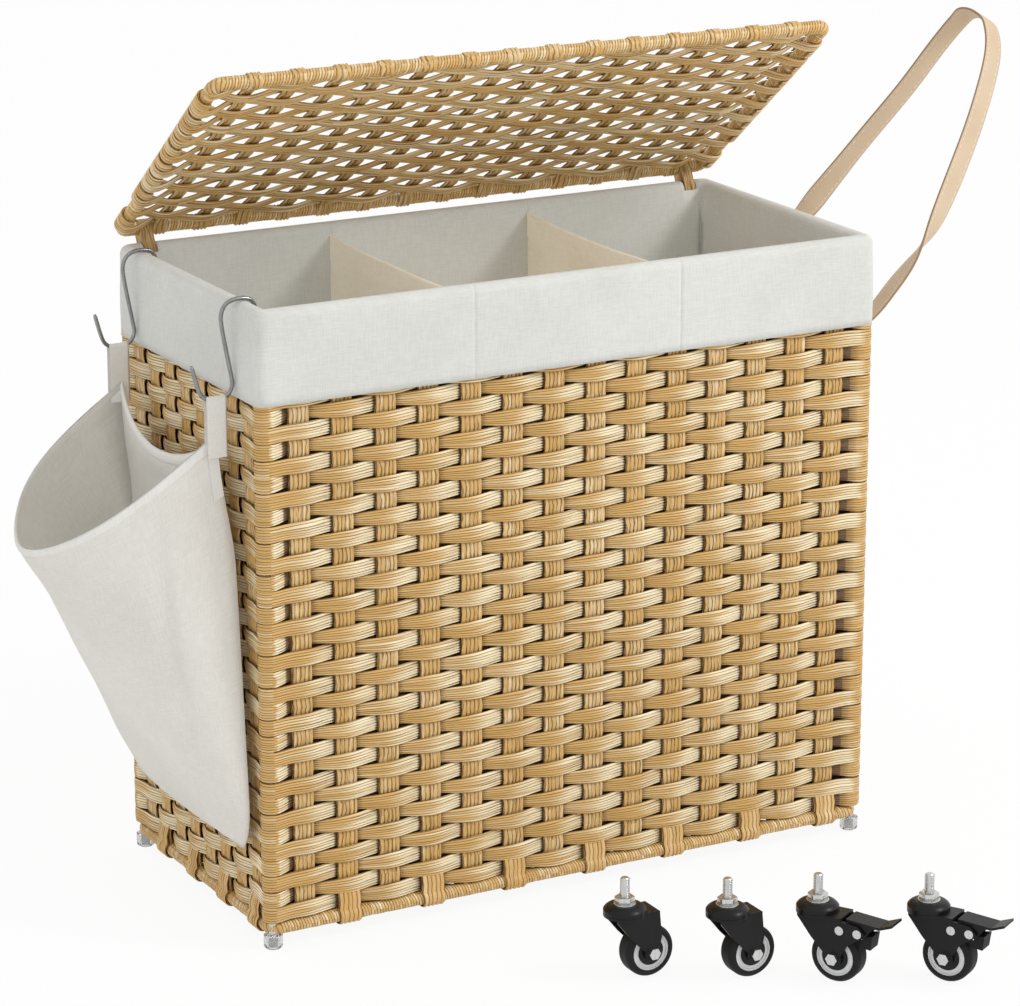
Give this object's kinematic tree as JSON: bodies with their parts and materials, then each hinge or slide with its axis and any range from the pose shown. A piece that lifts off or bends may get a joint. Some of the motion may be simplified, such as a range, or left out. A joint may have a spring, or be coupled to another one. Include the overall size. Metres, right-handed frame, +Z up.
{
  "type": "laundry sorter",
  "caption": "Woven laundry sorter on clear feet with a hinged lid, a divided cloth liner, a hooked side bag, a carrying strap and screw-in castors standing beside it.",
  "frame": {"origin": "on the floor, in the middle of the four leg sockets", "axes": "+X towards the carrying strap's end, along the basket; +Y towards the lid's hinge; +Z up"},
  "size_m": [1.068, 0.7405, 0.8155],
  "materials": {
    "wicker": "woven split rush, clear satin",
    "frame_rod": "brown painted wire rod",
    "zinc_steel": "bright zinc plate",
    "clear_plastic": "clear soft vinyl",
    "liner_cloth": "plain-woven cotton linen, matt",
    "tie_cord": "flat woven tie",
    "hook_wire": "nickel-plated wire",
    "bag_cloth": "plain-woven cotton linen, matt",
    "strap_hide": "coated cloth strap, painted edges, stitched",
    "black_metal": "black enamel",
    "hub_plastic": "light grey",
    "tyre_rubber": "black, matt"
  },
  "bodies": {
    "basket": {"back_panel": "wicker", "base_bars": "frame_rod", "base_panel": "wicker", "bottom_rail": "wicker", "corner_posts": "wicker", "cuff_ends": "liner_cloth", "feet": "clear_plastic", "front_panel": "wicker", "hinge_ties": "tie_cord", "left_panel": "wicker", "liner_back": "liner_cloth", "liner_cuff": "liner_cloth", "liner_dividers": "liner_cloth", "liner_ends": "liner_cloth", "liner_floor": "liner_cloth", "liner_front": "liner_cloth", "right_panel": "wicker", "side_hooks": "hook_wire", "strap_staples": "hook_wire", "top_rail": "wicker", "uprights": "wicker", "leg_sockets": "zinc_steel"},
    "lid": {"lid_frame": "wicker", "lid_panel": "wicker"},
    "strap": {"handle_strap": "strap_hide"},
    "bag_hangers": {"bag_loops": "bag_cloth"},
    "bag": {"bag_hem": "bag_cloth", "side_bag": "bag_cloth"},
    "castor_1_mount": {"castor_1_stem": "zinc_steel", "castor_1_cap": "black_metal"},
    "castor_1_fork": {"castor_1_fork": "black_metal", "castor_1_axle": "zinc_steel"},
    "castor_1_wheel": {"castor_1_hub": "hub_plastic", "castor_1_tyre": "tyre_rubber"},
    "castor_2_mount": {"castor_2_stem": "zinc_steel", "castor_2_cap": "black_metal"},
    "castor_2_fork": {"castor_2_fork": "black_metal", "castor_2_axle": "zinc_steel"},
    "castor_2_wheel": {"castor_2_hub": "hub_plastic", "castor_2_tyre": "tyre_rubber"},
    "castor_3_mount": {"castor_3_stem": "zinc_steel", "castor_3_cap": "black_metal"},
    "castor_3_fork": {"castor_3_fork": "black_metal", "castor_3_axle": "zinc_steel", "castor_3_pins": "zinc_steel"},
    "castor_3_wheel": {"castor_3_hub": "hub_plastic", "castor_3_tyre": "tyre_rubber"},
    "castor_3_brake": {"castor_3_pedal": "black_metal", "castor_3_shoe": "tyre_rubber"},
    "castor_4_mount": {"castor_4_stem": "zinc_steel", "castor_4_cap": "black_metal"},
    "castor_4_fork": {"castor_4_fork": "black_metal", "castor_4_axle": "zinc_steel", "castor_4_pins": "zinc_steel"},
    "castor_4_wheel": {"castor_4_hub": "hub_plastic", "castor_4_tyre": "tyre_rubber"},
    "castor_4_brake": {"castor_4_pedal": "black_metal", "castor_4_shoe": "tyre_rubber"}
  },
  "joints": [
    {"name": "lid_hinge", "type": "hinge", "parent": "basket", "child": "lid", "pos_m": [0, 0.162, 0.63], "axis": [-1, 0, 0], "range_deg": [-38, 66]},
    {"name": "strap_swing", "type": "hinge", "parent": "basket", "child": "strap", "pos_m": [0.3407, 0, 0.513], "axis": [0, 1, 0], "range_deg": [-30, 130]},
    {"name": "bag_lift", "type": "slide", "parent": "basket", "child": "bag_hangers", "axis": [0, 0, 1], "range_m": [0, 0.033]},
    {"name": "bag_swing", "type": "hinge", "parent": "bag_hangers", "child": "bag", "pos_m": [-0.3535, 0, 0.487], "axis": [0, 1, 0], "range_deg": [0, 50]},
    {"name": "castor_1_lift", "type": "slide", "parent": "basket", "child": "castor_1_mount", "axis": [0, 0, 1], "range_m": [0, 0.1]},
    {"name": "castor_1_swivel", "type": "hinge", "parent": "castor_1_mount", "child": "castor_1_fork", "pos_m": [-0.069, -0.37, 0.06], "axis": [0, 0, 1], "continuous": true},
    {"name": "castor_1_spin", "type": "hinge", "parent": "castor_1_fork", "child": "castor_1_wheel", "pos_m": [-0.046, -0.37, 0.025], "axis": [0, 1, 0], "continuous": true},
    {"name": "castor_2_lift", "type": "slide", "parent": "basket", "child": "castor_2_mount", "axis": [0, 0, 1], "range_m": [0, 0.1]},
    {"name": "castor_2_swivel", "type": "hinge", "parent": "castor_2_mount", "child": "castor_2_fork", "pos_m": [0.013, -0.4165, 0.06], "axis": [0, 0, 1], "continuous": true},
    {"name": "castor_2_spin", "type": "hinge", "parent": "castor_2_fork", "child": "castor_2_wheel", "pos_m": [0.036, -0.4165, 0.025], "axis": [0, 1, 0], "continuous": true},
    {"name": "castor_3_lift", "type": "slide", "parent": "basket", "child": "castor_3_mount", "axis": [0, 0, 1], "range_m": [0, 0.1]},
    {"name": "castor_3_swivel", "type": "hinge", "parent": "castor_3_mount", "child": "castor_3_fork", "pos_m": [0.092, -0.447, 0.06], "axis": [0, 0, 1], "range_deg": [-70, 150]},
    {"name": "castor_3_spin", "type": "hinge", "parent": "castor_3_fork", "child": "castor_3_wheel", "pos_m": [0.10395, -0.46665, 0.025], "axis": [0.8545, 0.5195, 0], "continuous": true},
    {"name": "castor_3_brake", "type": "hinge", "parent": "castor_3_fork", "child": "castor_3_brake", "pos_m": [0.11642, -0.48716, 0.054], "axis": [0.8545, 0.5195, 0], "range_deg": [0, 13]},
    {"name": "castor_4_lift", "type": "slide", "parent": "basket", "child": "castor_4_mount", "axis": [0, 0, 1], "range_m": [0, 0.1]},
    {"name": "castor_4_swivel", "type": "hinge", "parent": "castor_4_mount", "child": "castor_4_fork", "pos_m": [0.182, -0.496, 0.06], "axis": [0, 0, 1], "range_deg": [-70, 150]},
    {"name": "castor_4_spin", "type": "hinge", "parent": "castor_4_fork", "child": "castor_4_wheel", "pos_m": [0.19395, -0.51565, 0.025], "axis": [0.8545, 0.5195, 0], "continuous": true},
    {"name": "castor_4_brake", "type": "hinge", "parent": "castor_4_fork", "child": "castor_4_brake", "pos_m": [0.20642, -0.53616, 0.054], "axis": [0.8545, 0.5195, 0], "range_deg": [0, 13]}
  ]
}
